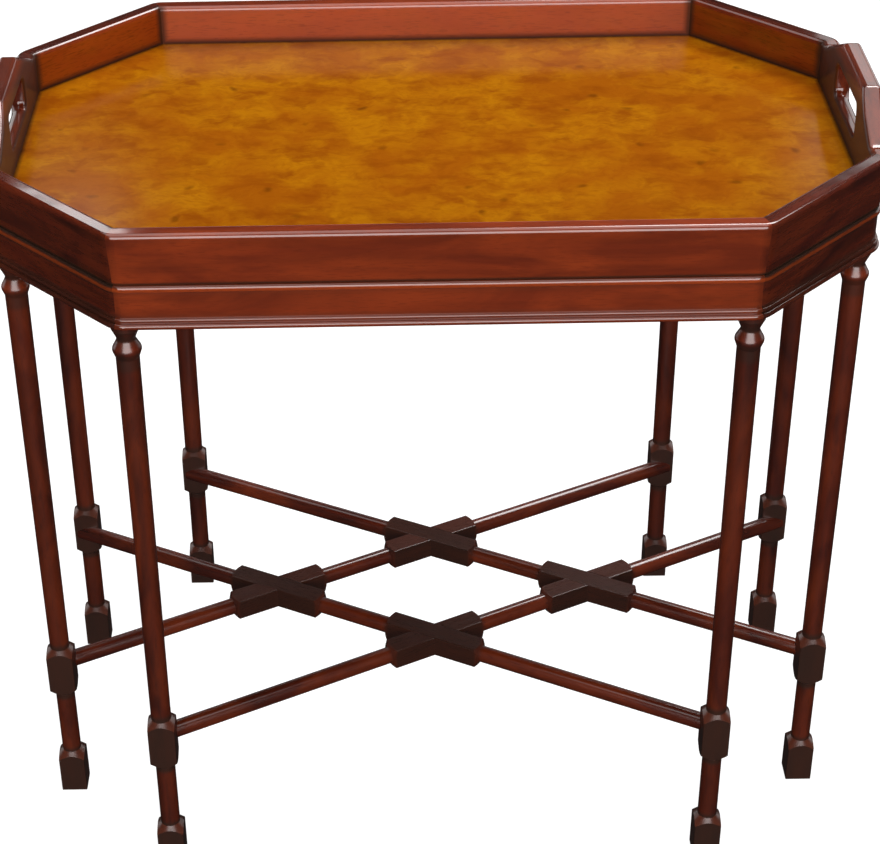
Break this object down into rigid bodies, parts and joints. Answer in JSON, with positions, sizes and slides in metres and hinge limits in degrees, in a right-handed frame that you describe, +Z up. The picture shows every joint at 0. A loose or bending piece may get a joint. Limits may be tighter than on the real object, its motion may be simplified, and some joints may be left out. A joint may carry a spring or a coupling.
{
  "type": "tray top tea table",
  "caption": "Octagonal wooden tea table: a rimmed lift-off tray with raised hand-hole handles on a stand of slender turned legs joined by crossed turned stretchers.",
  "frame": {"origin": "on the floor, under the middle of the table", "axes": "+X along the length of the table, from handle to handle; +Y from front to back; +Z up"},
  "size_m": [0.737, 0.461, 0.6878],
  "materials": {
    "mahogany": "dark red-brown, French polished",
    "burl_veneer": "amber burl veneer, French polished",
    "secondary_wood": "planed pine, unfinished",
    "screw_steel": "plain steel"
  },
  "bodies": {
    "stand": {"base_moulding_back": "mahogany", "base_moulding_back_left": "mahogany", "base_moulding_back_right": "mahogany", "base_moulding_front": "mahogany", "base_moulding_front_left": "mahogany", "base_moulding_front_right": "mahogany", "base_moulding_left": "mahogany", "base_moulding_right": "mahogany", "bead_back": "mahogany", "bead_back_left": "mahogany", "bead_back_right": "mahogany", "bead_front": "mahogany", "bead_front_left": "mahogany", "bead_front_right": "mahogany", "bead_left": "mahogany", "bead_right": "mahogany", "corner_block_back_left": "secondary_wood", "corner_block_back_right": "secondary_wood", "corner_block_front_left": "secondary_wood", "corner_block_front_right": "secondary_wood", "corner_block_left_front": "secondary_wood", "corner_block_left_rear": "secondary_wood", "corner_block_right_front": "secondary_wood", "corner_block_right_rear": "secondary_wood", "corner_block_screws": "screw_steel", "leg_back_left": "mahogany", "leg_back_right": "mahogany", "leg_front_left": "mahogany", "leg_front_right": "mahogany", "leg_left_front": "mahogany", "leg_left_rear": "mahogany", "leg_right_front": "mahogany", "leg_right_rear": "mahogany", "rail_back": "mahogany", "rail_back_left": "mahogany", "rail_back_right": "mahogany", "rail_front": "mahogany", "rail_front_left": "mahogany", "rail_front_right": "mahogany", "rail_left": "mahogany", "rail_right": "mahogany", "stretcher_front_left_to_right_rear": "mahogany", "stretcher_front_right_to_left_rear": "mahogany", "stretcher_left_front_to_back_right": "mahogany", "stretcher_right_front_to_back_left": "mahogany"},
    "tray": {"batten_back": "secondary_wood", "batten_front": "secondary_wood", "batten_screws": "screw_steel", "tray_backing_veneer": "secondary_wood", "tray_burl_veneer": "burl_veneer", "tray_core": "secondary_wood", "tray_wall_back": "mahogany", "tray_wall_back_left": "mahogany", "tray_wall_back_right": "mahogany", "tray_wall_front": "mahogany", "tray_wall_front_left": "mahogany", "tray_wall_front_right": "mahogany", "tray_wall_left": "mahogany", "tray_wall_right": "mahogany"}
  },
  "joints": [
    {"name": "tray_lift", "type": "slide", "parent": "stand", "child": "tray", "axis": [0, 0, 1], "range_m": [0, 0.12]}
  ]
}
